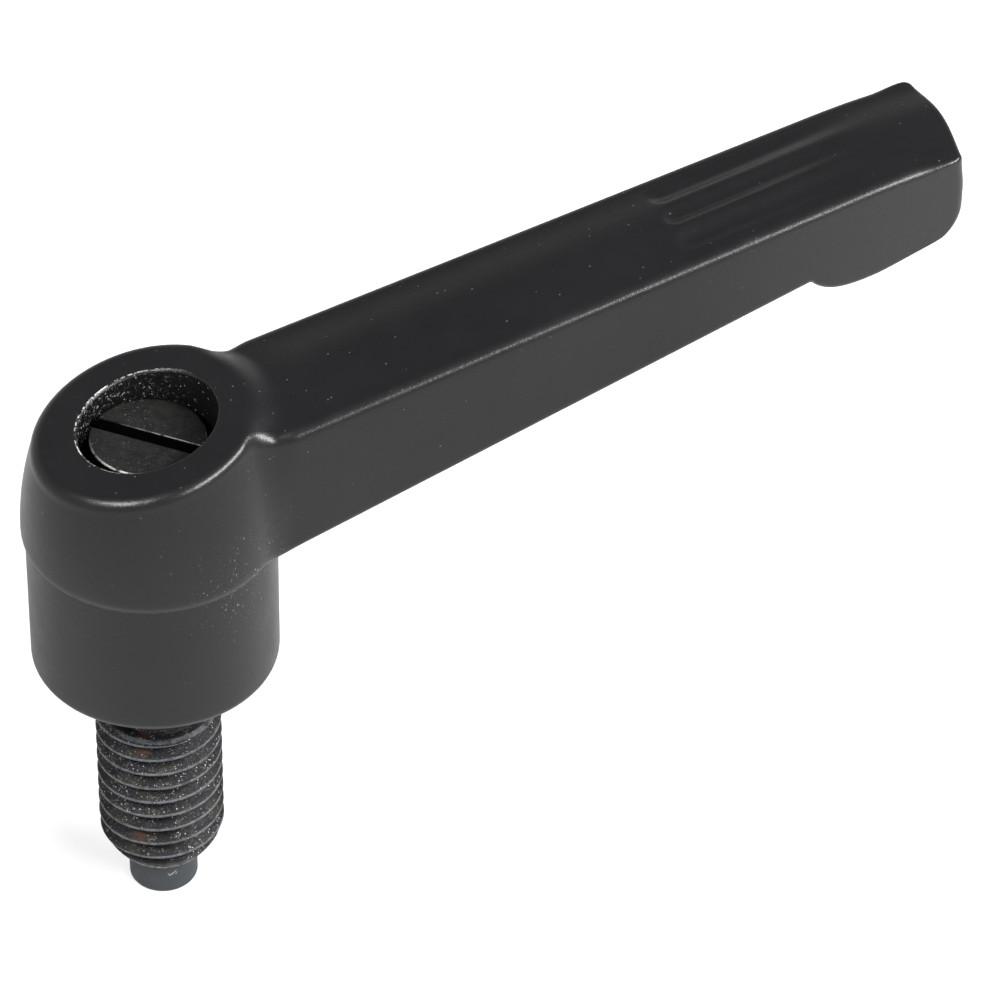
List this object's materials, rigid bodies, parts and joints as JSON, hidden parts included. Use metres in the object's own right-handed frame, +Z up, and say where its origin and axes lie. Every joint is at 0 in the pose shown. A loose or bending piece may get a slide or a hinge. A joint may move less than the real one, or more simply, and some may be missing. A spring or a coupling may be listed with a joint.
{
  "type": "indexing clamping lever",
  "caption": "Die-cast locking handle on a serrated steel stud with a dog point; lifts against a spring to index round the stud.",
  "frame": {"origin": "centre of the collar's underside, the shoulder that clamps, on the stud's axis", "axes": "+Z up along the stud's axis from the thread to the boss, +X along the arm"},
  "size_m": [0.0743, 0.0198, 0.0599],
  "materials": {
    "black_coating": "satin black powder coat on die-cast zinc",
    "black_oxide_steel": "black oxide, turned",
    "dark_screw_steel": "black oxide, turned face",
    "spring_steel": "drawn spring wire"
  },
  "bodies": {
    "stud": {"serrated_stud": "black_oxide_steel", "retaining_screw": "dark_screw_steel"},
    "spring": {"return_spring": "spring_steel"},
    "lever": {"lever": "black_coating"}
  },
  "joints": [
    {"name": "index_turn", "type": "hinge", "parent": "stud", "child": "spring", "pos_m": [0, 0, 0], "axis": [0, 0, 1], "continuous": true},
    {"name": "lever_lift", "type": "slide", "parent": "spring", "child": "lever", "axis": [0, 0, 1], "range_m": [0, 0.0042], "stiffness_N_per_m": 1800, "springref_m": -0.0044, "deforming": ["return_spring"]}
  ]
}
